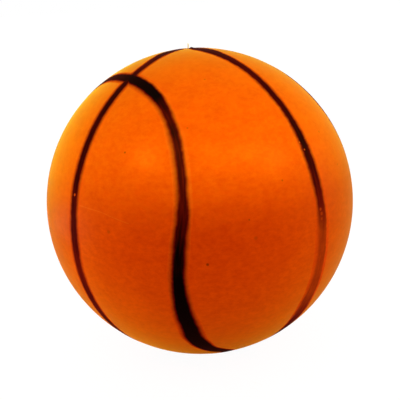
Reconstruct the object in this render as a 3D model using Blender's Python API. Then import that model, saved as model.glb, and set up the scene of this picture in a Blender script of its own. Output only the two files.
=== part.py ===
"""A rubber play ball, 8.5 inches across, with a basketball's eight-panel line pattern.

Two lapped cover halves are cured over a bladder whose valve sits under the north pole.
The black lines lie in shallow channels that run round the cover, across its parting line.
Metres, +Z up. The origin is the ball's centre and +Z leaves through the valve.
"""

import math

import bmesh
import bpy
from mathutils import Vector

# The ball
ball_diameter = 0.216
cover_wall = 0.0024
bladder_wall = 0.0007
clearance = 0.0003
lap_height = 0.0030

# The lines, as widths across, the depth of their filling, and the loops' drawn course.
# A loop's course is azimuth round its own axis, from the valve, and polar angle from that axis.
line_width = 0.0060
loop_width = 0.0072
line_depth = 0.0004
loop_course = (
    (0, 60.8),
    (27, 63.5),
    (58, 54.0),
    (90, 44.0),
    (122, 48.0),
    (152, 60.0),
    (180, 67.5),
    (203, 69.0),
    (216, 61.0),
    (224, 50.8),
    (238, 43.5),
    (262, 39.2),
    (300, 45.6),
    (332, 54.8),
)

# The valve: a rubber housing bonded under the bladder, and the soft core that the needle goes through
valve_hole_radius = 0.0028
valve_lip = 0.0010
valve_land = 0.0015
neck_radius = 0.0052
stem_radius = 0.0058
stem_tip_radius = 0.0050
stem_length = 0.0170
flange_radius = 0.0125
flange_thickness = 0.0016
flange_taper = 0.0008
seat_radius = 0.0140
core_radius = 0.0032
core_stop = 0.0016
core_stop_hole_radius = 0.0016
core_chamfer = 0.0008
needle_radius = 0.0004
funnel_radius = 0.0009
funnel_depth = 0.0015
nib_radius = 0.0006
nib_tip_radius = 0.0004
nib_height = 0.0030
nib_offset = 0.0017

# How finely round shapes are divided
cover_segments = 60
bladder_segments = 40
valve_segments = 24
nib_segments = 10
line_stations = 60
cutter_reach = 0.002

ball_radius = ball_diameter / 2
cavity_radius = ball_radius - cover_wall
bladder_radius = cavity_radius - clearance
bladder_inside = bladder_radius - bladder_wall
lap_radius = ball_radius - cover_wall / 2
channel_floor = ball_radius - line_depth - clearance
seat_angle = math.asin(seat_radius / cavity_radius)
bladder_flat = bladder_inside * math.cos(seat_angle)


def make_material(name, colour, roughness):
    """A Principled material from a linear colour."""
    material = bpy.data.materials.new(name)
    material.use_nodes = True
    shader = material.node_tree.nodes["Principled BSDF"]
    shader.inputs["Base Color"].default_value = (*colour, 1)
    shader.inputs["Roughness"].default_value = roughness
    shader.inputs["Metallic"].default_value = 0
    material.diffuse_color = (*colour, 1)
    return material


def object_from(bm, name, material):
    """Closes up a bmesh, shades it smooth and makes it an object."""
    bmesh.ops.remove_doubles(bm, verts=bm.verts, dist=1e-6)
    bmesh.ops.recalc_face_normals(bm, faces=bm.faces)
    mesh = bpy.data.meshes.new(name)
    bm.to_mesh(mesh)
    bm.free()
    mesh.shade_smooth()
    mesh.set_sharp_from_angle(angle=math.radians(35))
    obj = bpy.data.objects.new(name, mesh)
    bpy.context.scene.collection.objects.link(obj)
    if material:
        mesh.materials.append(material)
    return obj


def turned(name, outline, segments, material=None):
    """A solid turned about Z from a closed outline of (radius, height) points."""
    bm = bmesh.new()
    points = [bm.verts.new((radius, 0, height)) for radius, height in outline]
    edges = [bm.edges.new(pair) for pair in zip(points, points[1:] + points[:1])]
    on_axis = [edge for edge in edges if max(vert.co.x for vert in edge.verts) < 1e-9]
    bmesh.ops.delete(bm, geom=on_axis, context="EDGES_FACES")
    bmesh.ops.spin(
        bm,
        geom=bm.verts[:] + bm.edges[:],
        cent=(0, 0, 0),
        axis=(0, 0, 1),
        angle=math.tau,
        steps=segments,
        use_merge=True,
    )
    return object_from(bm, name, material)


def arc(radius, start, end, steps):
    """Points of (radius, height) on a circle about the origin, between two angles from +Z."""
    turn = (end - start) / steps
    return [
        (radius * math.sin(start + turn * i), radius * math.cos(start + turn * i))
        for i in range(steps + 1)
    ]


def ball_outline(radius, segments):
    """Half a circle, with a flat at the north pole where the valve seats."""
    rings = segments // 2
    return [(0, radius * math.cos(seat_angle))] + arc(radius, seat_angle, math.pi, rings - 1)


def great_circle(across, start, end, stations):
    """Unit directions round the ball through both poles, leaving the north pole towards across."""
    turn = (end - start) / stations
    angles = [start + turn * i for i in range(stations + 1)]
    return [across * math.sin(angle) + Vector((0, 0, math.cos(angle))) for angle in angles]


def polar_angle(azimuth):
    """The loop's polar angle at an azimuth, on a smooth closed curve through its course."""
    count = len(loop_course)
    last = max(i for i in range(count) if loop_course[i][0] <= azimuth)
    near = [
        (loop_course[i % count][0] + 360 * (i // count), loop_course[i % count][1])
        for i in range(last - 1, last + 3)
    ]
    (a0, p0), (a1, p1), (a2, p2), (a3, p3) = near
    span = a2 - a1
    slope_in = (p2 - p0) / (a2 - a0) * span
    slope_out = (p3 - p1) / (a3 - a1) * span
    s = (azimuth - a1) / span
    rise = 3 * s**2 - 2 * s**3
    bend_in = s - 2 * s**2 + s**3
    bend_out = s**3 - s**2
    return p1 + (p2 - p1) * rise + slope_in * bend_in + slope_out * bend_out


def loop(side, stations):
    """Unit directions round the closed loop about -X, or turned half round to lie about +X."""
    directions = []
    for i in range(stations):
        azimuth = 360 * i / stations
        round_axis = math.radians(azimuth)
        polar = math.radians(polar_angle(azimuth))
        reach = math.sin(polar)
        point = Vector(
            (side * math.cos(polar), -side * reach * math.sin(round_axis), reach * math.cos(round_axis))
        )
        directions.append(point)
    return directions


def strip(name, directions, width, low, high, closed, material=None):
    """A band on the ball along unit directions, from radius low to radius high."""
    bm = bmesh.new()
    count = len(directions)
    rows = []
    for i, point in enumerate(directions):
        before = directions[i - 1] if closed or i > 0 else point
        after = directions[(i + 1) % count] if closed or i < count - 1 else point
        across = (after - before).cross(point).normalized()
        row = []
        for radius, side in ((low, -1), (high, -1), (high, 0), (high, 1), (low, 1)):
            corner = point + across * (side * width / 2 / radius)
            row.append(bm.verts.new(corner.normalized() * radius))
        rows.append(row)
    following = rows[1:] + rows[:1] if closed else rows[1:]
    for row, following_row in zip(rows, following):
        for i, corner in enumerate(row):
            j = (i + 1) % len(row)
            bm.faces.new((corner, row[j], following_row[j], following_row[i]))
    if not closed:
        bm.faces.new(rows[0])
        bm.faces.new(rows[-1])
    return object_from(bm, name, material)


def cutter(obj):
    """Marks an object as a tool that only cuts."""
    obj.hide_render = True
    obj.display_type = "WIRE"
    return obj


def combine(obj, others, operation):
    """Leaves an exact Boolean on the object for each of the others."""
    for other in others:
        modifier = obj.modifiers.new(f"{operation.lower()}_{other.name}", "BOOLEAN")
        modifier.operation = operation
        modifier.solver = "EXACT"
        modifier.object = other


def channel(name, directions, width, closed):
    """The cutter for the groove that a line of this width lies in."""
    return cutter(
        strip(name, directions, width + 2 * clearance, channel_floor, ball_radius + cutter_reach, closed)
    )


def make_cover(cutters, rubber):
    """Two half covers that meet in a half lap just below the equator."""
    half_gap = clearance / 2
    rings = cover_segments // 4
    lip = math.acos(half_gap / ball_radius)
    upper = arc(ball_radius, 0, lip, rings) + [
        (lap_radius - half_gap, half_gap),
        (lap_radius - half_gap, half_gap - lap_height),
        (0, half_gap - lap_height),
    ]
    lower = arc(ball_radius, math.pi, math.pi - lip, rings) + [
        (lap_radius + half_gap, -half_gap),
        (lap_radius + half_gap, -half_gap - lap_height),
        (0, -half_gap - lap_height),
    ]
    cavity = cutter(turned("cavity_cutter", ball_outline(cavity_radius, bladder_segments), bladder_segments))
    for name, outline in (("cover_upper", upper), ("cover_lower", lower)):
        half = turned(name, outline, cover_segments, rubber)
        combine(half, [cavity] + cutters, "DIFFERENCE")


def make_bladder(passage, rubber):
    """The air-tight inner ball, flat where the valve flange is bonded, and open for its neck."""
    bladder = turned("bladder", ball_outline(bladder_radius, bladder_segments), bladder_segments, rubber)
    inside = cutter(turned("air_cutter", ball_outline(bladder_inside, bladder_segments), bladder_segments))
    combine(bladder, [inside, passage], "DIFFERENCE")


def make_valve(housing_rubber, core_rubber):
    """The housing, whose flange seats under the bladder, and the core that it holds under the cover's lip."""
    neck_top = ball_radius - valve_lip - clearance
    flange_top = bladder_flat - clearance
    flange_bottom = flange_top - flange_thickness
    stem_bottom = flange_top - stem_length
    core_seat = stem_bottom + core_stop
    bore = core_radius + clearance
    turned(
        "valve_housing",
        [
            (bore, neck_top),
            (neck_radius, neck_top),
            (neck_radius, flange_top),
            (flange_radius, flange_top),
            (flange_radius, flange_bottom),
            (stem_radius, flange_bottom - flange_taper),
            (stem_tip_radius, stem_bottom),
            (core_stop_hole_radius, stem_bottom),
            (core_stop_hole_radius, core_seat),
            (bore, core_seat),
        ],
        valve_segments,
        housing_rubber,
    )
    core_bottom = core_seat + clearance
    face_radius = valve_hole_radius - clearance
    core = turned(
        "valve_core",
        [
            (funnel_radius, ball_radius),
            (face_radius, ball_radius),
            (face_radius, neck_top),
            (core_radius, neck_top),
            (core_radius, core_bottom + core_chamfer),
            (core_radius - core_chamfer, core_bottom),
            (needle_radius, core_bottom),
            (needle_radius, ball_radius - funnel_depth),
        ],
        valve_segments,
        core_rubber,
    )
    nib = cutter(
        turned(
            "nib_form",
            [
                (0, ball_radius + nib_height),
                (nib_tip_radius, ball_radius + nib_height),
                (nib_radius, ball_radius - nib_radius),
                (0, ball_radius - nib_radius),
            ],
            nib_segments,
        )
    )
    nib.location = (0, nib_offset, 0)
    combine(core, [nib], "UNION")


def make_lines(loop_cutters, centre_cutter, ink):
    """The line fillings: two loops, the centre line, and the cross line in six lengths between them."""
    filling = ball_radius - line_depth
    end = (valve_hole_radius + valve_land + clearance) / ball_radius
    for name, side in (("loop_line_left", -1), ("loop_line_right", 1)):
        strip(name, loop(side, line_stations), loop_width, filling, ball_radius, True, ink)
    centre = great_circle(Vector((0, 1, 0)), end, math.tau - end, line_stations)
    strip("centre_line", centre, line_width, filling, ball_radius, False, ink)
    for side_name, side, loop_cutter in (("left", -1, loop_cutters[0]), ("right", 1, loop_cutters[1])):
        top = math.radians(90 - polar_angle(0))
        bottom = math.radians(90 + polar_angle(180))
        for level, start, stop in (
            ("top", end, top),
            ("middle", top, bottom),
            ("bottom", bottom, math.pi),
        ):
            steps = math.ceil(line_stations * (stop - start) / math.tau)
            course = great_circle(Vector((side, 0, 0)), start, stop, steps)
            name = f"cross_line_{side_name}_{level}"
            length = strip(name, course, line_width, filling, ball_radius, False, ink)
            ends = [loop_cutter, centre_cutter] if level == "bottom" else [loop_cutter]
            combine(length, ends, "DIFFERENCE")


def build_ball():
    for obj in list(bpy.data.objects):
        bpy.data.objects.remove(obj, do_unlink=True)
    orange_rubber = make_material("moulded orange rubber", (0.76, 0.12, 0.003), 0.30)
    black_ink = make_material("black line rubber", (0.006, 0.004, 0.004), 0.35)
    butyl = make_material("butyl rubber", (0.012, 0.012, 0.013), 0.65)
    valve_rubber = make_material("black valve rubber", (0.020, 0.019, 0.018), 0.55)
    pale_rubber = make_material("pale gum rubber", (0.62, 0.55, 0.44), 0.45)

    end = (valve_hole_radius + valve_land) / ball_radius
    loop_cutters = [
        channel("loop_channel_left", loop(-1, line_stations), loop_width, True),
        channel("loop_channel_right", loop(1, line_stations), loop_width, True),
    ]
    centre = great_circle(Vector((0, 1, 0)), end, math.tau - end, line_stations)
    centre_cutter = channel("centre_channel", centre, line_width, False)
    cross = great_circle(Vector((1, 0, 0)), end, math.tau - end, line_stations)
    cross_cutter = channel("cross_channel", cross, line_width, False)
    passage = cutter(
        turned(
            "valve_passage",
            [
                (0, ball_radius + cutter_reach),
                (valve_hole_radius, ball_radius + cutter_reach),
                (valve_hole_radius, ball_radius - valve_lip),
                (neck_radius + clearance, ball_radius - valve_lip),
                (neck_radius + clearance, bladder_flat - cutter_reach),
                (0, bladder_flat - cutter_reach),
            ],
            valve_segments,
        )
    )
    make_cover([passage, *loop_cutters, centre_cutter, cross_cutter], orange_rubber)
    make_bladder(passage, butyl)
    make_valve(valve_rubber, pale_rubber)
    make_lines(loop_cutters, centre_cutter, black_ink)


build_ball()
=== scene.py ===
import math

import bpy
from mathutils import Matrix, Vector


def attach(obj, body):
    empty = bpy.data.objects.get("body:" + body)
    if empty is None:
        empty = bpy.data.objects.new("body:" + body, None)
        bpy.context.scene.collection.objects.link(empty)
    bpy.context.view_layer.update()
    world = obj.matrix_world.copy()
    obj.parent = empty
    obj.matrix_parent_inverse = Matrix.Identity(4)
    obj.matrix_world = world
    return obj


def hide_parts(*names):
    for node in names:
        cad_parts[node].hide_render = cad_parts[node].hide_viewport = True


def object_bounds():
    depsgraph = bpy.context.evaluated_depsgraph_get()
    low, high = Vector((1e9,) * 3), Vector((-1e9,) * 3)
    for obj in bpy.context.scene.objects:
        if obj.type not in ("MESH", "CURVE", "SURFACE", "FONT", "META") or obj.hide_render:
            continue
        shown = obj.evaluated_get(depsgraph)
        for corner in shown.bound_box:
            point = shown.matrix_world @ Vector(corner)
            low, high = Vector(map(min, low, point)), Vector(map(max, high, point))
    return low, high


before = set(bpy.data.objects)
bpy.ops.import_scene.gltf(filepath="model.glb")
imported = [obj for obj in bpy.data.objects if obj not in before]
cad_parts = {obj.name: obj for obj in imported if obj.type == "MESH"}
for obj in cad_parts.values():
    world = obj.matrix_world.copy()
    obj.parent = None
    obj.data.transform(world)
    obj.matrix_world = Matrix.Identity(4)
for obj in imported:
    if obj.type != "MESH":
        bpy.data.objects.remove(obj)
cadLow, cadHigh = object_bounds()
ballRadius = -cadLow.z  # the ball stands on the floor with its centre at the origin
mm = 0.001


# Small helpers


def linear(hexColour):
    # sRGB hex colour to linear red, green, blue and alpha
    channels = [int(hexColour[i : i + 2], 16) / 255 for i in (1, 3, 5)]
    return (*(c / 12.92 if c <= 0.04045 else ((c + 0.055) / 1.055) ** 2.4 for c in channels), 1)


def addNode(tree, kind, settings=None, values=None, links=None):
    node = tree.nodes.new(kind)
    for name, value in (settings or {}).items():
        setattr(node, name, value)
    for name, value in (values or {}).items():
        node.inputs[name].default_value = value
    for name, source in (links or {}).items():
        tree.links.new(source, node.inputs[name])
    return node


def newMaterial(name, settings):
    material = bpy.data.materials.new(name)
    material.use_nodes = True
    shader = material.node_tree.nodes["Principled BSDF"]
    for socket, value in settings.items():
        shader.inputs[socket].default_value = value
    return material, material.node_tree, shader


def deselectAll():
    if bpy.context.object and bpy.context.object.mode != "OBJECT":
        bpy.ops.object.mode_set(mode="OBJECT")
    bpy.ops.object.select_all(action="DESELECT")


def nameNew(name):
    piece = bpy.context.object
    piece.name = name
    piece.data.name = name
    return piece


def selectVerts(piece, test):
    # called in edit mode: leaves the vertices that pass the test selected
    bpy.ops.object.mode_set(mode="OBJECT")
    for vert in piece.data.vertices:
        vert.select = test(vert.co)
    for edge in piece.data.edges:
        edge.select = all(piece.data.vertices[i].select for i in edge.vertices)
    for face in piece.data.polygons:
        face.select = all(piece.data.vertices[i].select for i in face.vertices)
    bpy.ops.object.mode_set(mode="EDIT")


def applyModifier(piece, kind, settings):
    modifier = piece.modifiers.new(kind.title(), kind)
    for name, value in settings.items():
        setattr(modifier, name, value)
    bpy.context.view_layer.objects.active = piece
    bpy.ops.object.modifier_apply(modifier=modifier.name)


def finishPiece(piece, material, nodes, smoothAngle):
    deselectAll()
    piece.select_set(True)
    bpy.context.view_layer.objects.active = piece
    bpy.ops.object.transform_apply(location=True, rotation=True, scale=True)
    bpy.ops.object.shade_smooth_by_angle(angle=math.radians(smoothAngle))
    piece.data.materials.clear()
    piece.data.materials.append(material)
    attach(piece, "root")
    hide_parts(*nodes)
    piece.select_set(False)


# The rubber cover: two moulded halves with a polished face

rubber = {
    "orange": "#f54b00",
    "deepOrange": "#e23600",
    "roughness": 0.3,
    "specularLevel": 0.006,
    "specularTint": "#ffb330",
    "bloomWeight": 0.72,  # the dry, amber look of a much-handled cover towards its rim
    "bloomRoughness": 0.48,
    "bloomTint": "#ffc810",
    "mottleSize": 14,  # mm, cloudy patches of pigment
    "mottleRange": (0.35, 0.75),  # of the noise, from plain orange to deepest
    "mottleMost": 0.55,
    "flatness": 1.6,  # how much wider than high the patches are
    "grainSize": 4.0,  # mm, fine grain of the painted shade and light
    "grainRange": (0.35, 0.7),
    # colour, share of the face, and the heights in mm where it begins and where it is full
    "paintedShadeAndLight": (
        ("#d62600", 0.5, 55, 8),  # painted shade: a darker red grain, full towards the bottom
        ("#ff6b06", 0.36, 5, 38),  # painted light: a paler grain, full towards the top
    ),
    "waveSize": 9,  # mm, the mould's polish is slightly wavy
    "waveHeight": 0.05,  # mm
    "peelSize": 1.6,  # mm, orange peel in the gloss, drawn coarser than it is so that it shows
    "peelHeight": 0.004,  # mm
}
marks = {
    # flecks of carbon in the moulding: longitude, latitude, radius in mm, how dark
    "flecks": (
        (-160.0, 31.4, 0.6, 0.75),
        (-131.8, -3.7, 0.9, 0.85),
        (-118.0, 9.0, 0.6, 0.5),
        (-163.6, 6.1, 1.2, 0.3),
        (-116.4, 3.0, 1.3, 0.25),
        (-104.4, 19.1, 0.6, 0.5),
        (-136.0, 39.4, 0.6, 0.35),
        (-125.0, 59.0, 0.6, 0.35),
        (-76.4, 30.7, 0.7, 0.4),
        (-73.0, 18.0, 0.7, 0.35),
    ),
    "fleckColour": "#7a2200",
    "fleckEdge": (0.3, 1.4),  # parts of its radius where a fleck is full and where it ends
    # chips where the ink has come off the lines: longitude, latitude, radius in mm, share lost
    "chips": (
        (180.0, 15.9, 0.9, 0.8),
        (-91.6, 29.5, 0.6, 0.5),
        (-90.6, 26.8, 0.6, 0.5),
        (-90.2, 6.8, 1.1, 0.4),
        (-89.9, 5.3, 1.2, 0.45),
        (-90.0, 3.6, 1.0, 0.35),
    ),
    "chipEdge": (0.5, 1.3),
    # a fine dull scratch, as points of longitude and latitude
    "scratch": ((-180.0, 13.1), (-167.0, 12.1), (-156.0, 9.3)),
    "scratchWidth": 0.5,  # mm
    "scratchShare": 0.2,
    "scratchEnds": (0.9, 1.1),  # parts of half its length, where it fades
    "scratchColour": "#ff8a3c",
}


def onBall(longitude, latitude):
    longitude, latitude = math.radians(longitude), math.radians(latitude)
    flat = ballRadius * math.cos(latitude)
    height = ballRadius * math.sin(latitude)
    return Vector((flat * math.cos(longitude), flat * math.sin(longitude), height))


def nearPoint(tree, place, point, radius, edge, share):
    # the share near a point, fading between the two parts of the radius that edge gives
    away = addNode(tree, "ShaderNodeVectorMath", {"operation": "DISTANCE"}, {1: point}, {0: place})
    return addNode(
        tree,
        "ShaderNodeMapRange",
        {"interpolation_type": "SMOOTHSTEP"},
        {"From Min": radius * edge[0], "From Max": radius * edge[1], "To Min": share, "To Max": 0},
        {"Value": away.outputs["Value"]},
    ).outputs["Result"]


def rubberColour(tree):
    # orange pigment, slightly cloudy, with a grain painted darker low on the ball as shade and
    # paler high on it as light
    place = addNode(tree, "ShaderNodeTexCoord").outputs["Object"]
    flat = addNode(
        tree,
        "ShaderNodeMapping",
        values={"Scale": (1, 1, rubber["flatness"])},
        links={"Vector": place},
    )
    clouds = addNode(
        tree,
        "ShaderNodeTexNoise",
        values={"Scale": 1 / (rubber["mottleSize"] * mm), "Detail": 3, "Roughness": 0.55},
        links={"Vector": flat.outputs["Vector"]},
    )
    low, high = rubber["mottleRange"]
    cloudy = addNode(
        tree,
        "ShaderNodeMapRange",
        values={"From Min": low, "From Max": high, "To Max": rubber["mottleMost"]},
        links={"Value": clouds.outputs["Fac"]},
    )
    colour = addNode(
        tree,
        "ShaderNodeMix",
        {"data_type": "RGBA"},
        {"A": linear(rubber["orange"]), "B": linear(rubber["deepOrange"])},
        {"Factor": cloudy.outputs["Result"]},
    )
    height = addNode(tree, "ShaderNodeSeparateXYZ", links={"Vector": place})
    low, high = rubber["grainRange"]
    for i, (hexColour, most, begins, full) in enumerate(rubber["paintedShadeAndLight"]):
        aside = addNode(
            tree,
            "ShaderNodeVectorMath",
            {"operation": "ADD"},
            {1: (i, 0, 0)},  # metres away, so that the two grains differ
            {0: flat.outputs["Vector"]},
        )
        grain = addNode(
            tree,
            "ShaderNodeTexNoise",
            values={"Scale": 1 / (rubber["grainSize"] * mm), "Detail": 3, "Roughness": 0.65},
            links={"Vector": aside.outputs["Vector"]},
        )
        grainy = addNode(
            tree,
            "ShaderNodeMapRange",
            values={"From Min": low, "From Max": high, "To Max": most},
            links={"Value": grain.outputs["Fac"]},
        )
        # painted shade low on the ball and painted light high on it: the grain's share by height
        here = addNode(
            tree,
            "ShaderNodeMapRange",
            values={"From Min": begins * mm, "From Max": full * mm},
            links={"Value": height.outputs["Z"]},
        )
        share = addNode(
            tree,
            "ShaderNodeMath",
            {"operation": "MULTIPLY"},
            links={0: grainy.outputs["Result"], 1: here.outputs["Result"]},
        )
        colour = addNode(
            tree,
            "ShaderNodeMix",
            {"data_type": "RGBA"},
            {"B": linear(hexColour)},
            {"Factor": share.outputs["Value"], "A": colour.outputs["Result"]},
        )
    return place, colour.outputs["Result"]


def marked(tree, place, colour):
    # the flecks and the scratch of this ball's cover, each a share of its colour
    layers = []
    for longitude, latitude, radius, dark in marks["flecks"]:
        point = onBall(longitude, latitude)
        share = nearPoint(tree, place, point, radius * mm, marks["fleckEdge"], dark)
        layers.append((share, marks["fleckColour"]))
    for start, stop in zip(marks["scratch"], marks["scratch"][1:]):
        start, stop = onBall(*start), onBall(*stop)
        off = addNode(
            tree,
            "ShaderNodeVectorMath",
            {"operation": "DOT_PRODUCT"},
            {1: start.cross(stop).normalized()},
            {0: place},
        )
        away = addNode(
            tree, "ShaderNodeMath", {"operation": "ABSOLUTE"}, links={0: off.outputs["Value"]}
        )
        thin = addNode(
            tree,
            "ShaderNodeMapRange",
            values={"From Max": marks["scratchWidth"] * mm, "To Min": 1, "To Max": 0},
            links={"Value": away.outputs["Value"]},
        )
        middle, reach = (start + stop) / 2, (stop - start).length / 2
        along = nearPoint(tree, place, middle, reach, marks["scratchEnds"], marks["scratchShare"])
        share = addNode(
            tree,
            "ShaderNodeMath",
            {"operation": "MULTIPLY"},
            links={0: thin.outputs["Result"], 1: along},
        )
        layers.append((share.outputs["Value"], marks["scratchColour"]))
    for share, hexColour in layers:
        mix = addNode(
            tree,
            "ShaderNodeMix",
            {"data_type": "RGBA"},
            {"B": linear(hexColour)},
            {"Factor": share, "A": colour},
        )
        colour = mix.outputs["Result"]
    return colour


def rubberBump(tree, place):
    wave = addNode(
        tree,
        "ShaderNodeTexNoise",
        values={"Scale": 1 / (rubber["waveSize"] * mm), "Detail": 1, "Roughness": 0.4},
        links={"Vector": place},
    )
    waves = addNode(
        tree,
        "ShaderNodeBump",
        values={"Strength": 1, "Distance": rubber["waveHeight"] * mm},
        links={"Height": wave.outputs["Fac"]},
    )
    peel = addNode(
        tree,
        "ShaderNodeTexNoise",
        values={"Scale": 1 / (rubber["peelSize"] * mm), "Detail": 2},
        links={"Vector": place},
    )
    peeled = addNode(
        tree,
        "ShaderNodeBump",
        values={"Strength": 1, "Distance": rubber["peelHeight"] * mm},
        links={"Height": peel.outputs["Fac"], "Normal": waves.outputs["Normal"]},
    )
    return peeled.outputs["Normal"]


def polishedOrangeRubber():
    # natural rubber from a polished mould: a deep, even orange that turns amber at the rim
    material, tree, shader = newMaterial(
        "orange natural rubber, moulded glossy",
        {
            "Roughness": rubber["roughness"],
            "Specular IOR Level": rubber["specularLevel"],
            "Specular Tint": linear(rubber["specularTint"]),
            "Sheen Weight": rubber["bloomWeight"],
            "Sheen Roughness": rubber["bloomRoughness"],
            "Sheen Tint": linear(rubber["bloomTint"]),
        },
    )
    place, colour = rubberColour(tree)
    tree.links.new(marked(tree, place, colour), shader.inputs["Base Color"])
    tree.links.new(rubberBump(tree, place), shader.inputs["Normal"])
    return material


cover = {
    "wall": 2.4 * mm,
    "holeRadius": 2.8 * mm,  # where the valve shows
    "holeBevel": 0.35 * mm,
    "partingBevel": 0.03 * mm,
    "neckRadius": 5.5 * mm,  # the counterbore that the valve's neck sits in
    "neckSides": 96,
    "lip": 1.0 * mm,
    "slack": 0.05 * mm,  # how near a vertex has to be to count as on a ring or a face
    "weld": 0.003 * mm,  # what stands closer than this becomes one vertex
}


def makeCoverHalf(name, upper, material, node):
    deselectAll()
    # so many rings that the first one round the pole is the rim of the valve's hole
    rings = round(math.pi / math.asin(cover["holeRadius"] / ballRadius))
    bpy.ops.mesh.primitive_uv_sphere_add(segments=2 * rings, ring_count=rings, radius=ballRadius)
    half = nameNew(name)
    slack = cover["slack"]
    bpy.ops.object.mode_set(mode="EDIT")
    bpy.ops.mesh.select_all(action="SELECT")
    bpy.ops.mesh.bisect(
        plane_co=(0, 0, 0), plane_no=(0, 0, 1), clear_inner=upper, clear_outer=not upper
    )
    if upper:
        selectVerts(half, lambda co: math.hypot(co.x, co.y) < slack)
        bpy.ops.mesh.delete(type="VERT")
    bpy.ops.object.mode_set(mode="OBJECT")
    wall = {"thickness": cover["wall"], "offset": -1, "use_even_offset": True}
    applyModifier(half, "SOLIDIFY", wall)
    if upper:
        bpy.ops.mesh.primitive_cylinder_add(
            vertices=cover["neckSides"],
            radius=cover["neckRadius"],
            depth=cover["wall"] * 2,
            location=(0, 0, ballRadius - cover["lip"] - cover["wall"]),
        )
        neck = bpy.context.object
        boolean = {"operation": "DIFFERENCE", "object": neck, "solver": "EXACT"}
        applyModifier(half, "BOOLEAN", boolean)
        bpy.data.objects.remove(neck)
    deselectAll()
    bpy.context.view_layer.objects.active = half
    bpy.ops.object.mode_set(mode="EDIT")
    bpy.ops.mesh.select_mode(type="VERT")
    bpy.ops.mesh.select_all(action="SELECT")
    bpy.ops.mesh.remove_doubles(threshold=cover["weld"])
    bpy.ops.mesh.dissolve_degenerate(threshold=cover["weld"])
    selectVerts(half, lambda co: abs(co.z) < slack and co.length > ballRadius - slack)
    bpy.ops.mesh.bevel(offset=cover["partingBevel"], segments=2, affect="EDGES")
    if upper:
        rim = cover["holeRadius"] + slack
        selectVerts(
            half, lambda co: math.hypot(co.x, co.y) < rim and co.length > ballRadius - slack
        )
        bpy.ops.mesh.bevel(offset=cover["holeBevel"], segments=4, affect="EDGES")
    bpy.ops.object.mode_set(mode="OBJECT")
    finishPiece(half, material, [node], smoothAngle=20)


orangeRubber = polishedOrangeRubber()
makeCoverHalf("coverUpper", True, orangeRubber, "cover_upper")
makeCoverHalf("coverLower", False, orangeRubber, "cover_lower")
print("cover: two halves")


# The valve's soft core, with the nib that stands on it, and the pieces inside

plug = {
    # radius and height above the centre in mm, from the funnel round to the needle's way
    "profile": (
        (0.9, 107.85),
        (1.05, 107.97),
        (2.2, 107.99),
        (2.41, 107.92),
        (2.5, 107.72),
        (2.5, 106.7),
        (3.2, 106.7),
        (3.2, 89.1),
        (2.4, 88.3),
        (0.4, 88.3),
        (0.4, 106.4),
    ),
    "segments": 48,
    # the nib in mm, with its heights above the ball's centre
    "nibPlace": (0, 1.7),
    "nibBottom": 107.3,
    "nibTop": 111.4,
    "nibRadii": (0.5, 0.3),
    "nibRounding": 0.12,
    "nibSides": 20,
    "slack": 0.01,  # how near its top a vertex has to be to count as on it
    "weld": 0.001,
    "colour": "#aba398",
    "dust": "#8d8374",
}


def makeValvePlug(material):
    deselectAll()
    profile = plug["profile"]
    bpy.ops.mesh.primitive_circle_add(vertices=plug["segments"], radius=profile[0][0] * mm)
    piece = nameNew("valvePlug")
    bpy.ops.object.mode_set(mode="EDIT")
    bpy.ops.mesh.select_all(action="SELECT")
    bpy.ops.transform.translate(value=(0, 0, profile[0][1] * mm))
    for (radius, height), (nextRadius, nextHeight) in zip(profile, profile[1:] + profile[:1]):
        rise = (nextHeight - height) * mm
        grow = nextRadius / radius
        bpy.ops.mesh.extrude_region_move(TRANSFORM_OT_translate={"value": (0, 0, rise)})
        bpy.ops.transform.resize(value=(grow, grow, 1), center_override=(0, 0, nextHeight * mm))
    bpy.ops.mesh.select_all(action="SELECT")
    bpy.ops.mesh.remove_doubles(threshold=plug["weld"] * mm)
    bpy.ops.mesh.normals_make_consistent(inside=False)
    bpy.ops.object.mode_set(mode="OBJECT")
    low, high = plug["nibBottom"], plug["nibTop"]
    bpy.ops.mesh.primitive_cone_add(
        vertices=plug["nibSides"],
        radius1=plug["nibRadii"][0] * mm,
        radius2=plug["nibRadii"][1] * mm,
        depth=(high - low) * mm,
        location=(plug["nibPlace"][0] * mm, plug["nibPlace"][1] * mm, (low + high) / 2 * mm),
    )
    nib = bpy.context.object
    bpy.ops.object.transform_apply(location=True, rotation=True, scale=True)
    bpy.ops.object.mode_set(mode="EDIT")
    selectVerts(nib, lambda co: co.z > (high - plug["slack"]) * mm)
    bpy.ops.mesh.bevel(offset=plug["nibRounding"] * mm, segments=3, affect="EDGES")
    bpy.ops.object.mode_set(mode="OBJECT")
    applyModifier(piece, "BOOLEAN", {"operation": "UNION", "object": nib, "solver": "EXACT"})
    bpy.data.objects.remove(nib)
    finishPiece(piece, material, ["valve_core"], smoothAngle=40)


def mouldedRubber(name, settings, colour, dust, size, bumpHeight):
    # plain moulded rubber: its pigment, and the clouds of dust or talc on it, size in mm
    material, tree, shader = newMaterial(name, settings)
    place = addNode(tree, "ShaderNodeTexCoord").outputs["Object"]
    cloud = addNode(
        tree,
        "ShaderNodeTexNoise",
        values={"Scale": 1 / (size * mm), "Detail": 4, "Roughness": 0.6},
        links={"Vector": place},
    )
    dusty = addNode(
        tree,
        "ShaderNodeMapRange",
        values={"From Min": 0.4, "From Max": 0.7},
        links={"Value": cloud.outputs["Fac"]},
    )
    shade = addNode(
        tree,
        "ShaderNodeMix",
        {"data_type": "RGBA"},
        {"A": linear(colour), "B": linear(dust)},
        {"Factor": dusty.outputs["Result"]},
    )
    tree.links.new(shade.outputs["Result"], shader.inputs["Base Color"])
    relief = addNode(
        tree,
        "ShaderNodeBump",
        values={"Strength": 1, "Distance": bumpHeight * mm},
        links={"Height": cloud.outputs["Fac"]},
    )
    tree.links.new(relief.outputs["Normal"], shader.inputs["Normal"])
    return material


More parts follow.
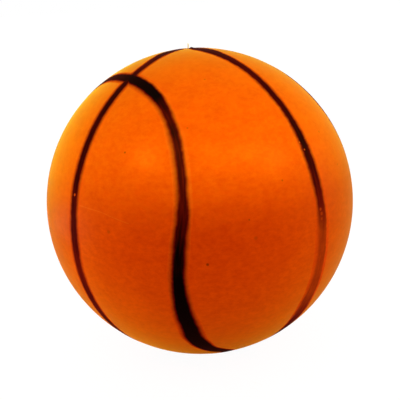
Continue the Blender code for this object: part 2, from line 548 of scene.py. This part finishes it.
makeValvePlug(
    # soft and pale, so the needle's hole closes again; satin with a little dust in it
    mouldedRubber(
        "pale gum rubber, moulded satin",
        {"Roughness": 0.5, "Specular IOR Level": 0.4},
        plug["colour"],
        plug["dust"],
        size=1.2,
        bumpHeight=0.02,
    )
)
inside = {
    # near black with cloudy grey talc, matt
    "bladder": mouldedRubber(
        "butyl rubber, talc-dusted matt",
        {"Roughness": 0.75},
        "#1b1b1c",
        "#4a4947",
        size=9,
        bumpHeight=0.05,
    ),
    # charcoal, satin from the mould
    "valve_housing": mouldedRubber(
        "black rubber, moulded satin",
        {"Roughness": 0.5},
        "#242322",
        "#35322f",
        size=2.5,
        bumpHeight=0.02,
    ),
}
for node, material in inside.items():
    bpy.data.objects[node].material_slots[0].material = material
print("valve: core in place, bladder and housing dressed")


# The printed lines: ink rolled on by a wheel, worn thin where the ball has rubbed

ink = {
    "black": "#030202",
    "seenThrough": "#ff1400",  # the orange under a thin film of it
    "paintedSheen": "#ffa020",  # painted sheen: a yellower orange that stands in for the cover's amber sheen at the soft edges
    "paintedSheenShare": 0.07,
    "roughness": 0.45,
    "specularLevel": 0.002,
    "bloomWeight": 0.05,
    "bloomTint": "#ff4a10",
    "lift": 0.10,  # mm, at the middle of a line
    "tuck": 0.03,  # mm, how far its margins lie under the rubber's face
    "margin": 0.3,  # mm past the ink on either side
    "crown": 0.8,  # power that the section's cosine is raised to: lower is flatter on top
    "thickness": 0.35,  # mm
    "step": 1.5,  # mm between rows along a line
    "glance": 0.2,  # degrees before and behind a row that give its direction
    "across": 12,  # faces from edge to edge
    "weld": 0.01,  # mm, where a closed line's ends meet
    "raggedSize": 4,  # mm, along the wheel's edge
    "streakLength": 16,  # mm
    "streakWidth": 1.3,  # mm
    "streakDepth": 0.065,
    "blobHeight": 0.9,  # mm, the drop left where the wheel lifted off by the valve
    "blobLength": 2.2,  # mm
    "blobNarrow": 1.6,  # how many times narrower than the line
    "filmRange": (0.6, 0.95),  # of the density, over which what shows through it turns red
    "crossingReach": 14,  # mm from a crossing, within which lines share their ink
    "crossingTurn": 12.5,  # degrees that the other line is searched each way
    "crossingStep": 0.25,  # degrees
}
inkAttributes = ("inkHalf", "inkDensity", "inkSoft", "inkWorn", "inkRagged", "inkOther")


def blackLineInk():
    # rubber ink with no gloss of its own: flat black, reddish where the film is thin
    material, tree, shader = newMaterial(
        "black rubber ink, rolled on",
        {
            "Roughness": ink["roughness"],
            "Specular IOR Level": ink["specularLevel"],
            "Sheen Weight": ink["bloomWeight"],
            "Sheen Roughness": rubber["bloomRoughness"],
            "Sheen Tint": linear(ink["bloomTint"]),
        },
    )
    place, bare = rubberColour(tree)
    # painted sheen: the bare orange turned a little yellower, standing in for the cover's sheen
    withPaintedSheen = addNode(
        tree,
        "ShaderNodeMix",
        {"data_type": "RGBA"},
        {"Factor": ink["paintedSheenShare"], "B": linear(ink["paintedSheen"])},
        {"A": bare},
    )
    lineMap = addNode(tree, "ShaderNodeUVMap", {"uv_map": "lineMap"}).outputs["UV"]
    parts = addNode(tree, "ShaderNodeSeparateXYZ", links={"Vector": lineMap})
    read = {
        name: addNode(tree, "ShaderNodeAttribute", {"attribute_name": name}).outputs["Fac"]
        for name in inkAttributes
    }
    edgeNoise = addNode(
        tree,
        "ShaderNodeTexNoise",
        values={"Scale": 1 / (ink["raggedSize"] * mm), "Detail": 2},
        links={"Vector": place},
    )
    ragged = addNode(
        tree,
        "ShaderNodeMapRange",
        values={"From Min": 0.3, "From Max": 0.7, "To Min": -1, "To Max": 1},
        links={"Value": edgeNoise.outputs["Fac"]},
    )
    rough = addNode(
        tree,
        "ShaderNodeMath",
        {"operation": "MULTIPLY"},
        links={0: ragged.outputs["Result"], 1: read["inkRagged"]},
    )
    away = addNode(
        tree, "ShaderNodeMath", {"operation": "ABSOLUTE"}, links={0: parts.outputs["Y"]}
    )
    inside = addNode(
        tree,
        "ShaderNodeMath",
        {"operation": "SUBTRACT"},
        links={0: read["inkHalf"], 1: away.outputs["Value"]},
    )
    insideRagged = addNode(
        tree,
        "ShaderNodeMath",
        {"operation": "ADD"},
        links={0: inside.outputs["Value"], 1: rough.outputs["Value"]},
    )
    minusSoft = addNode(
        tree, "ShaderNodeMath", {"operation": "MULTIPLY"}, {1: -1}, {0: read["inkSoft"]}
    )
    coverage = addNode(
        tree,
        "ShaderNodeMapRange",
        {"interpolation_type": "SMOOTHSTEP"},
        links={
            "Value": insideRagged.outputs["Value"],
            "From Min": minusSoft.outputs["Value"],
            "From Max": read["inkSoft"],
        },
    )
    stretched = addNode(
        tree,
        "ShaderNodeMapping",
        values={"Scale": (1 / ink["streakLength"], 1 / ink["streakWidth"], 1)},
        links={"Vector": lineMap},
    )
    streak = addNode(
        tree,
        "ShaderNodeTexNoise",
        {"noise_dimensions": "2D"},
        {"Scale": 1, "Detail": 2},
        {"Vector": stretched.outputs["Vector"]},
    )
    streaked = addNode(
        tree,
        "ShaderNodeMapRange",
        values={"From Min": 0.4, "From Max": 0.7, "To Max": ink["streakDepth"]},
        links={"Value": streak.outputs["Fac"]},
    )
    thinned = addNode(
        tree,
        "ShaderNodeMath",
        {"operation": "MULTIPLY"},
        links={0: streaked.outputs["Result"], 1: read["inkWorn"]},
    )
    left = addNode(
        tree,
        "ShaderNodeMath",
        {"operation": "SUBTRACT"},
        links={0: read["inkDensity"], 1: thinned.outputs["Value"]},
    )
    covered = coverage.outputs["Result"]
    for longitude, latitude, radius, lost in marks["chips"]:
        point = onBall(longitude, latitude)
        chip = nearPoint(tree, place, point, radius * mm, marks["chipEdge"], lost)
        kept = addNode(tree, "ShaderNodeMath", {"operation": "SUBTRACT"}, {0: 1}, {1: chip})
        covered = addNode(
            tree,
            "ShaderNodeMath",
            {"operation": "MULTIPLY"},
            links={0: covered, 1: kept.outputs["Value"]},
        ).outputs["Value"]
    density = addNode(
        tree,
        "ShaderNodeMath",
        {"operation": "MULTIPLY", "use_clamp": True},
        links={0: covered, 1: left.outputs["Value"]},
    )
    both = addNode(
        tree,
        "ShaderNodeMath",
        {"operation": "MAXIMUM"},
        links={0: density.outputs["Value"], 1: read["inkOther"]},
    )
    low, high = ink["filmRange"]
    filmed = addNode(
        tree,
        "ShaderNodeMapRange",
        values={"From Min": low, "From Max": high},
        links={"Value": both.outputs["Value"]},
    )
    under = addNode(
        tree,
        "ShaderNodeMix",
        {"data_type": "RGBA"},
        {"B": linear(ink["seenThrough"])},
        {"Factor": filmed.outputs["Result"], "A": withPaintedSheen.outputs["Result"]},
    )
    inked = addNode(
        tree,
        "ShaderNodeMix",
        {"data_type": "RGBA"},
        {"B": linear(ink["black"])},
        {"Factor": both.outputs["Value"], "A": under.outputs["Result"]},
    )
    tree.links.new(inked.outputs["Result"], shader.inputs["Base Color"])
    tree.links.new(rubberBump(tree, place), shader.inputs["Normal"])
    return material


def eased(share):
    return share * share * (3 - 2 * share)


def between(keys, at, column):
    # a column of keys read at an angle, eased from one key to the next
    for before, after in zip(keys, keys[1:]):
        if before[0] <= at <= after[0]:
            share = eased((at - before[0]) / (after[0] - before[0]))
            return before[column] + (after[column] - before[column]) * share
    return keys[0][column] if at < keys[0][0] else keys[-1][column]


def evenly(course, start, stop):
    # angles from start to stop that stand a step apart on the ball, and how far apart in mm
    count = 2400
    fine = [start + (stop - start) * i / count for i in range(count + 1)]
    walked = [0]
    for before, after in zip(fine, fine[1:]):
        walked.append(walked[-1] + (course(after) - course(before)).length * ballRadius / mm)
    steps = round(walked[-1] / ink["step"])
    angles, at = [], 0
    for i in range(steps + 1):
        target = walked[-1] * i / steps
        while at < count - 1 and walked[at + 1] < target:
            at += 1
        share = min(1, (target - walked[at]) / (walked[at + 1] - walked[at]))
        angles.append(fine[at] + (fine[at + 1] - fine[at]) * share)
    return angles, walked[-1] / steps


def inkFrom(others, point):
    # how well the lines that cross here cover a point: their course, keys and angle there
    most = 0
    steps = round(ink["crossingTurn"] / ink["crossingStep"])
    for course, keys, middle in others:
        if (course(middle) - point).length * ballRadius < ink["crossingReach"] * mm:
            nearby = [middle + i * ink["crossingStep"] for i in range(-steps, steps + 1)]
            away, at = min(
                ((course(angle) - point).length * ballRadius / mm, angle) for angle in nearby
            )
            width, density, soft = (between(keys, at, i) for i in (1, 2, 3))
            share = max(0, min(1, (width / 2 - away + soft) / (2 * soft)))
            most = max(most, density * eased(share))
    return most


def layLine(name, node, course, keys, start, stop, others, blob=0):
    # course(angle) gives the unit direction; lineKeys says what the columns of keys are
    angles, apart = evenly(course, start, stop)
    stations = len(angles) - 1
    deselectAll()
    bpy.ops.mesh.primitive_grid_add(
        x_subdivisions=stations, y_subdivisions=ink["across"], size=1, calc_uvs=True
    )
    line = nameNew(name)
    mesh = line.data
    rows = []
    for i, angle in enumerate(angles):
        point = course(angle)
        ahead = course(angle + ink["glance"]) - course(angle - ink["glance"])
        rows.append((point, ahead.cross(point).normalized(), angle, i * apart))
    for attribute in inkAttributes:
        mesh.attributes.new(attribute, "FLOAT", "POINT")
    places = []
    for vert in mesh.vertices:
        i = round((vert.co.x + 0.5) * stations)
        side = vert.co.y * 2
        point, across, angle, along = rows[i]
        width, density, soft, worn, lean, shift, ragged = (
            between(keys, angle, column) for column in range(1, len(keys[0]))
        )
        half = width / 2 + soft * (1 + abs(lean)) + ragged + ink["margin"]
        crown = max(0, math.cos(side * math.pi / 2)) ** ink["crown"]
        lift = (ink["lift"] + ink["tuck"]) * crown - ink["tuck"]
        left = math.radians(abs(stop - angle)) * ballRadius / mm / ink["blobLength"]
        lift += blob * math.exp(-left * left) * max(0, 1 - abs(side) * ink["blobNarrow"])
        outward = (point * ballRadius + across * ((side * half + shift) * mm)).normalized()
        vert.co = outward * (ballRadius + lift * mm)
        vert.co.z = max(vert.co.z, -ballRadius)  # pressed flat on the floor
        soft *= 1 + lean * max(-1, min(1, side * half / (width / 2)))
        values = (width / 2, density, soft, worn, ragged, inkFrom(others, outward))
        for attribute, value in zip(inkAttributes, values):
            mesh.attributes[attribute].data[vert.index].value = value
        places.append((along, side * half))
    lineMap = mesh.uv_layers[0]
    lineMap.name = "lineMap"  # mm along the line and to the side of its middle
    for corner in mesh.loops:
        lineMap.data[corner.index].uv = places[corner.vertex_index]
    bpy.ops.object.mode_set(mode="EDIT")
    bpy.ops.mesh.select_all(action="SELECT")
    if stop - start == 360:  # a closed loop
        bpy.ops.mesh.remove_doubles(threshold=ink["weld"] * mm)
    bpy.ops.mesh.normals_make_consistent(inside=False)
    bpy.ops.object.mode_set(mode="OBJECT")
    middle = mesh.polygons[len(mesh.polygons) // 2]
    if middle.normal.dot(middle.center) < 0:
        bpy.ops.object.mode_set(mode="EDIT")
        bpy.ops.mesh.select_all(action="SELECT")
        bpy.ops.mesh.flip_normals()
        bpy.ops.object.mode_set(mode="OBJECT")
    applyModifier(line, "SOLIDIFY", {"thickness": ink["thickness"] * mm, "offset": -1})
    finishPiece(line, blackInk, [node], smoothAngle=60)


# a loop's course round its own axis, as azimuth from the valve and polar angle from the axis
loopCourse = (
    (0, 60.8),
    (27, 63.5),
    (58, 54.0),
    (90, 44.0),
    (122, 48.0),
    (152, 60.0),
    (180, 67.5),
    (199, 73.0),
    (207.3, 74.4),
    (210.8, 72.2),
    (212.2, 68.4),
    (214.4, 62.4),
    (217, 58.2),
    (220.2, 54.3),
    (224, 51.1),
    (238, 43.5),
    (262, 39.2),
    (300, 45.6),
    (332, 54.8),
)


def loopPolar(azimuth):
    # a smooth curve through the points of loopCourse, closed on itself
    count = len(loopCourse)
    azimuth = azimuth % 360
    last = max(i for i in range(count) if loopCourse[i][0] <= azimuth)
    near = [
        (loopCourse[i % count][0] + 360 * (i // count), loopCourse[i % count][1])
        for i in range(last - 1, last + 3)
    ]
    (a0, p0), (a1, p1), (a2, p2), (a3, p3) = near
    span = a2 - a1
    slopeIn = (p2 - p0) / (a2 - a0) * span
    slopeOut = (p3 - p1) / (a3 - a1) * span
    s = (azimuth - a1) / span
    rise = 3 * s**2 - 2 * s**3
    return p1 + (p2 - p1) * rise + slopeIn * (s - 2 * s**2 + s**3) + slopeOut * (s**3 - s**2)


def onLoop(side):
    def course(azimuth):
        polar = math.radians(loopPolar(azimuth))
        turn = math.radians(azimuth)
        reach = math.sin(polar)
        sideways = -side * reach * math.sin(turn)
        return Vector((side * math.cos(polar), sideways, reach * math.cos(turn)))

    return course


def onMeridian(towards):
    def course(angle):
        turn = math.radians(angle)
        return towards * math.sin(turn) + Vector((0, 0, math.cos(turn)))

    return course


lineKeys = {
    # angle, width mm, density, softness of the edges mm, wear, lean of that softness and shift
    # mm to one side (out from a loop, +X on the centre line, +Y on the front's cross line),
    # raggedness of the edges mm
    "loopFront": (
        (40, 8.0, 0.99, 1.2, 0, 0, 0, 0.2),
        (200, 8.0, 0.99, 1.5, 0, 0, 0, 0.2),
        (211, 8.2, 0.99, 0.8, 0, 0, 0, 0.2),
        (213.5, 9.6, 0.99, 0.9, 0, 0, 0, 0.2),
        (218, 12.2, 1.0, 1.4, 0, 0, 0, 0.2),
        (224, 12.6, 1.0, 2.2, 0, 0, 0, 0.25),
        (232, 11.9, 1.0, 2.2, 0, 0, 0.4, 0.25),
        (240, 11.2, 1.0, 2.2, 0, 0, 0.1, 0.25),
        (248, 9.9, 1.0, 2.2, 0, 0, 0, 0.25),
        (256, 9.2, 1.0, 2.2, 0, 0, 0.3, 0.3),
        (264, 8.8, 1.0, 2.2, 0.2, 0, 0.1, 0.3),
        (272, 8.4, 1.0, 2.2, 0.3, 0, -0.4, 0.3),
        (280, 8.0, 0.98, 2.0, 0.8, 0, -0.5, 0.3),
        (288, 8.0, 0.95, 1.7, 1, -0.2, -0.1, 0.3),
        (296, 6.4, 0.95, 2.0, 1, -0.2, 0.1, 0.3),
        (304, 6.4, 0.95, 2.0, 1, -0.2, 0.4, 0.25),
        (312, 6.1, 0.97, 2.0, 1, -0.3, 0.5, 0.25),
        (320, 6.5, 0.98, 2.0, 0.8, -0.3, 0.5, 0.25),
        (328, 6.2, 0.95, 2.0, 0.8, -0.1, 0.4, 0.25),
        (334, 6.7, 0.98, 2.0, 0.5, -0.2, 0.4, 0.2),
        (340, 7.8, 1.0, 1.8, 0, -0.3, 0.2, 0.2),
        (346, 8.6, 1.0, 1.8, 0, -0.3, -0.3, 0.2),
        (352, 8.6, 1.0, 1.7, 0, -0.3, -0.8, 0.2),
        (359, 8.8, 1.0, 1.6, 0, -0.2, -0.9, 0.2),
        (368, 8.2, 0.99, 1.6, 0.1, 0, -0.9, 0.2),
        (378, 7.8, 0.98, 1.4, 0.3, 0, -0.4, 0.2),
        (400, 8.0, 0.99, 1.2, 0, 0, 0, 0.2),
    ),
    "loopBack": (
        (40, 8.0, 0.99, 1.2, 0.2, 0, 0, 0.2),
        (120, 9.4, 1.0, 1.6, 0, 0.3, 0, 0.25),
        (200, 10.4, 0.98, 1.8, 0.6, 0.2, 0, 0.3),
        (300, 7.0, 0.97, 1.4, 1, -0.3, 0, 0.25),
        (400, 8.0, 0.99, 1.2, 0.2, 0, 0, 0.2),
    ),
    "centre": (
        (-360, 7.2, 0.98, 1.2, 0.5, 0, 0, 0.2),
        (-210, 8.0, 0.98, 1.3, 0.5, 0, 0, 0.25),
        (-150, 9.2, 0.99, 1.2, 0.3, 0, 0, 0.3),
        (-136, 11.0, 0.98, 1.1, 0.4, 0, 0, 0.3),
        (-129, 12.0, 0.93, 1.4, 1, 0, 0.4, 0.4),
        (-124, 12.0, 0.8, 1.9, 2, 0, 0.2, 0.5),
        (-118, 11.4, 0.68, 1.6, 2, -0.3, -0.3, 0.5),
        (-112, 10.2, 0.54, 1.7, 2, -0.5, 0.3, 0.45),
        (-105, 8.6, 0.5, 1.8, 2, -0.6, 0.4, 0.3),
        (-98, 8.2, 0.52, 1.8, 2, -0.6, 0.5, 0.3),
        (-92, 7.8, 0.56, 1.8, 2, -0.6, 0.3, 0.3),
        (-87, 8.2, 0.72, 1.7, 1.6, -0.4, 0.5, 0.3),
        (-80, 7.4, 0.88, 1.7, 1.2, 0, 0.5, 0.3),
        (-74, 7.9, 0.95, 2.0, 1, 0, 0.2, 0.3),
        (-67, 8.2, 0.97, 2.0, 0.5, 0, 0.3, 0.3),
        (-60, 7.6, 0.99, 2.0, 0.2, 0, 0.4, 0.35),
        (-50, 6.6, 0.98, 2.0, 0.4, 0, 0.4, 0.35),
        (-40, 7.1, 0.97, 2.0, 0.5, 0, -0.1, 0.3),
        (-30, 7.0, 0.97, 2.0, 0.6, 0, 0, 0.35),
        (-22, 7.8, 0.96, 1.3, 0.6, 0, -0.2, 0.4),
        (-16, 9.2, 0.965, 1.3, 0.1, 0, -0.3, 0.3),
        (-10, 11.4, 0.965, 1.3, 0, 0, 0.1, 0.2),
        (-5, 11.4, 0.965, 1.2, 0, 0, 0.4, 0.2),
        (-0.8, 6.0, 0.965, 0.8, 0, 0, -0.2, 0.2),
    ),
    "crossFront": (
        (2.4, 8.4, 0.97, 1.0, 0, 0, 4.6, 0.15),
        (6, 11.6, 0.97, 1.3, 0, 0, 5.8, 0.2),
        (10, 10.6, 0.97, 1.4, 0.1, 0, 4.9, 0.2),
        (15, 8.2, 0.96, 1.5, 0.4, 0, 2.7, 0.2),
        (21, 7.2, 0.95, 1.5, 0.7, 0, 1.0, 0.2),
        (30, 7.2, 0.98, 2.1, 0.5, 0, 0.2, 0.2),
        (40, 7.4, 0.99, 2.1, 0.4, 0, 0, 0.2),
        (50, 7.2, 0.98, 2.1, 0.5, 0, 0.2, 0.2),
        (60, 7.2, 0.985, 2.1, 0.5, 0, 0, 0.2),
        (70, 7.0, 0.975, 2.1, 0.7, 0, 0.1, 0.2),
        (80, 7.0, 0.95, 1.8, 0.9, 0, -0.4, 0.25),
        (90, 7.6, 0.94, 1.8, 0.9, 0, -0.5, 0.25),
        (100, 7.4, 0.88, 1.5, 1, 0, 0.4, 0.3),
        (110, 7.6, 0.93, 1.3, 1, 0, 0.6, 0.3),
        (130, 7.8, 0.96, 1.0, 0.9, 0, 1.0, 0.3),
        (158, 7.8, 0.98, 1.4, 0.4, 0, 0.6, 0.3),
        (180, 7.8, 0.99, 1.2, 0.2, 0, 0, 0.2),
    ),
    "crossBack": (
        (2.4, 6.0, 0.97, 0.9, 0.4, 0, 0, 0.2),
        (60, 7.2, 0.98, 1.4, 0.6, 0, 0, 0.25),
        (110, 8.2, 0.95, 1.6, 0.9, 0, 0, 0.3),
        (180, 7.8, 0.99, 1.2, 0.2, 0, 0, 0.2),
    ),
}
crossTop = {"Left": 2.4, "Right": 2.5}  # degrees from the pole
centreEnds = (-357.5, -0.8)
loopEnds = (40, 400)

blackInk = blackLineInk()
# where lines cross, each is given the other's course, keys and angle there
centre = onMeridian(Vector((0, 1, 0)))
sides = {
    # the loop and the cross line of each side, with their keys
    "Left": (onLoop(-1), "loopFront", onMeridian(Vector((-1, 0, 0))), "crossFront"),
    "Right": (onLoop(1), "loopBack", onMeridian(Vector((1, 0, 0))), "crossBack"),
}
layLine(
    "centreLine",
    "centre_line",
    centre,
    lineKeys["centre"],
    *centreEnds,
    [(cross, lineKeys[crossKeys], 180) for _, _, cross, crossKeys in sides.values()],
    ink["blobHeight"],
)
top = 90 - loopPolar(0)  # where the cross lines meet the loops
bottom = 90 + loopPolar(180)
for sideName, (loop, loopKeys, cross, crossKeys) in sides.items():
    side = sideName.lower()
    loopKeys, crossKeys = lineKeys[loopKeys], lineKeys[crossKeys]
    crossings = [(cross, crossKeys, top), (cross, crossKeys, bottom)]
    layLine(f"loop{sideName}", f"loop_line_{side}", loop, loopKeys, *loopEnds, crossings)
    crossings = [(loop, loopKeys, 360), (loop, loopKeys, 180), (centre, lineKeys["centre"], -180)]
    stretches = {"Top": (crossTop[sideName], top), "Middle": (top, bottom), "Bottom": (bottom, 180)}
    for level, ends in stretches.items():
        name, node = f"cross{sideName}{level}", f"cross_line_{side}_{level.lower()}"
        layLine(name, node, cross, crossKeys, *ends, crossings)
print("lines: laid")


# Floor, light and camera

studio = {
    "floorSize": 60,  # metres
    "floorColour": "#e8e8e8",
    "floorRoughness": 0.9,
    "floorGlow": 1.12,  # white as the camera sees it
    "floorGlowShare": 0.85,  # the rest is lit, and shows the ball's shadow
    "worldStrength": 0.615,
    "worldColour": "#fff4ea",
    "cameraBack": 4.6,  # ball radii from the centre
    "cameraAzimuth": -42.95,
    "cameraElevation": 16.28,
    "cameraRoll": 3.68,
    "lens": 61.9,  # mm
    "centreLeft": 0.2,  # pixels of the picture, 400 wide
    "centreDown": 0.8,
    "pictureWidth": 400,
}


def seenItself(tree):
    # 1 for what the camera sees, straight or through something clear, and 0 for what lights
    rays = addNode(tree, "ShaderNodeLightPath")
    return addNode(
        tree,
        "ShaderNodeMath",
        {"operation": "MAXIMUM"},
        links={0: rays.outputs["Is Camera Ray"], 1: rays.outputs["Is Transmission Ray"]},
    ).outputs["Value"]


def makeFloor():
    deselectAll()
    bpy.ops.mesh.primitive_plane_add(size=studio["floorSize"], location=(0, 0, cadLow.z))
    floor = nameNew("floor")
    material, tree, shader = newMaterial(
        "pale studio floor",
        {
            "Base Color": linear(studio["floorColour"]),
            "Roughness": studio["floorRoughness"],
            "Specular IOR Level": 0,
        },
    )
    share = addNode(
        tree,
        "ShaderNodeMath",
        {"operation": "MULTIPLY"},
        {1: studio["floorGlowShare"]},
        {0: seenItself(tree)},
    )
    white = addNode(
        tree,
        "ShaderNodeEmission",
        values={"Color": (1, 1, 1, 1), "Strength": studio["floorGlow"]},
    )
    mixed = addNode(
        tree,
        "ShaderNodeMixShader",
        links={
            0: share.outputs["Value"],
            1: shader.outputs["BSDF"],
            2: white.outputs["Emission"],
        },
    )
    tree.links.new(mixed.outputs["Shader"], tree.nodes["Material Output"].inputs["Surface"])
    floor.data.materials.append(material)


def makeWorld():
    world = bpy.data.worlds.new("studio")
    bpy.context.scene.world = world
    world.use_nodes = True
    tree = world.node_tree
    lit = tree.nodes["Background"]
    lit.inputs["Color"].default_value = linear(studio["worldColour"])
    lit.inputs["Strength"].default_value = studio["worldStrength"]
    white = addNode(
        tree, "ShaderNodeBackground", values={"Color": (1, 1, 1, 1), "Strength": 1}
    )
    mixed = addNode(
        tree,
        "ShaderNodeMixShader",
        links={
            0: seenItself(tree),
            1: lit.outputs["Background"],
            2: white.outputs["Background"],
        },
    )
    tree.links.new(mixed.outputs["Shader"], tree.nodes["World Output"].inputs["Surface"])


softboxes = {
    # name: azimuth and elevation it shines from, metres away, width, height, watts
    "overheadSoftbox": (-43, 78, 1.1, 1.6, 1.6, 1.3),
    "leftSoftbox": (-138, -2.5, 1.1, 0.6, 0.3, 0.7),
    "rightSoftbox": (52, -2, 1.1, 0.6, 0.9, 3.2),
    "lowLeftSoftbox": (-138, -9, 0.5, 0.4, 0.05, 0.82),
    "lowRightSoftbox": (40, -6, 0.5, 0.4, 0.1, 0.14),
}
glints = {
    # warm lamps that only the gloss shows: azimuth and elevation of either end, thickness, watts
    "windowGlint": ((-94, 40), (-84, 44), 0.2, 340),
    "longGlint": ((-36, 45.5), (28, 26.5), 0.22, 560),
}
glintColour = "#ffc24a"
glintAway = 1.5  # metres
topSpot = {
    # feathered: only the lower edge of its cone falls on the ball, across its middle
    "azimuth": -29,
    "elevation": 25,
    "away": 1.8,  # metres
    "cone": 14,  # degrees
    "blend": 0.39,
    "edge": 5.6,  # degrees of latitude on the ball where its light ends
    "size": 0.012,  # metres
    "watts": 104,
    "colour": "#c0ffdc",  # makes the half that it lights a little yellower
}


def direction(azimuth, elevation):
    azimuth, elevation = math.radians(azimuth), math.radians(elevation)
    flat = math.cos(elevation)
    return Vector((math.sin(azimuth) * flat, -math.cos(azimuth) * flat, math.sin(elevation)))


def hang(name, data, place, aim):
    lamp = bpy.data.objects.new(name, data)
    bpy.context.scene.collection.objects.link(lamp)
    lamp.location = place
    lamp.rotation_euler = (aim - place).to_track_quat("-Z", "Y").to_euler()
    return lamp


def hangPanel(name, place, width, height, watts):
    data = bpy.data.lights.new(name, "AREA")
    data.shape = "RECTANGLE"
    data.size = width
    data.size_y = height
    data.energy = watts
    return hang(name, data, place, Vector((0, 0, 0)))


def makeLamps():
    for name, (azimuth, elevation, away, width, height, watts) in softboxes.items():
        lamp = hangPanel(name, direction(azimuth, elevation) * away, width, height, watts)
        lamp.visible_glossy = name == "overheadSoftbox"  # the low ones would show as pale spots
    for name, (start, stop, thickness, watts) in glints.items():
        start, stop = direction(*start) * glintAway, direction(*stop) * glintAway
        length = max(thickness, (stop - start).length)
        lamp = hangPanel(name, (start + stop) / 2, length, thickness, watts)
        lamp.data.color = linear(glintColour)[:3]
        lamp.visible_diffuse = False
        backwards = lamp.location.normalized()
        upwards = backwards.cross(stop - start).normalized()
        turned = Matrix((upwards.cross(backwards), upwards, backwards)).transposed()
        lamp.rotation_euler = turned.to_euler()
    data = bpy.data.lights.new("topSpot", "SPOT")
    data.energy = topSpot["watts"]
    data.color = linear(topSpot["colour"])[:3]
    data.spot_size = math.radians(topSpot["cone"])
    data.spot_blend = topSpot["blend"]
    data.shadow_soft_size = topSpot["size"]
    place = direction(topSpot["azimuth"], topSpot["elevation"]) * topSpot["away"]
    edge = direction(topSpot["azimuth"], topSpot["edge"]) * ballRadius
    down = (edge - place).normalized()
    sideways = down.cross(Vector((0, 0, 1))).normalized()
    upwards = Matrix.Rotation(math.radians(topSpot["cone"] / 2), 3, sideways) @ down
    lamp = hang("topSpot", data, place, place + upwards)
    lamp.visible_glossy = False


def makeCamera():
    back = direction(studio["cameraAzimuth"], studio["cameraElevation"])
    data = bpy.data.cameras.new("camera")
    data.lens = studio["lens"]
    data.shift_x = studio["centreLeft"] / studio["pictureWidth"]
    data.shift_y = studio["centreDown"] / studio["pictureWidth"]
    camera = bpy.data.objects.new("camera", data)
    bpy.context.scene.collection.objects.link(camera)
    camera.location = back * (studio["cameraBack"] * ballRadius)
    level = (-back).to_track_quat("-Z", "Y").to_matrix()
    roll = Matrix.Rotation(math.radians(studio["cameraRoll"]), 3, "Z")
    camera.rotation_euler = (level @ roll.inverted()).to_euler()
    bpy.context.scene.camera = camera


makeFloor()
makeWorld()
makeLamps()
makeCamera()
bpy.context.scene.view_settings.view_transform = "Standard"
print("studio: floor, lamps and camera")
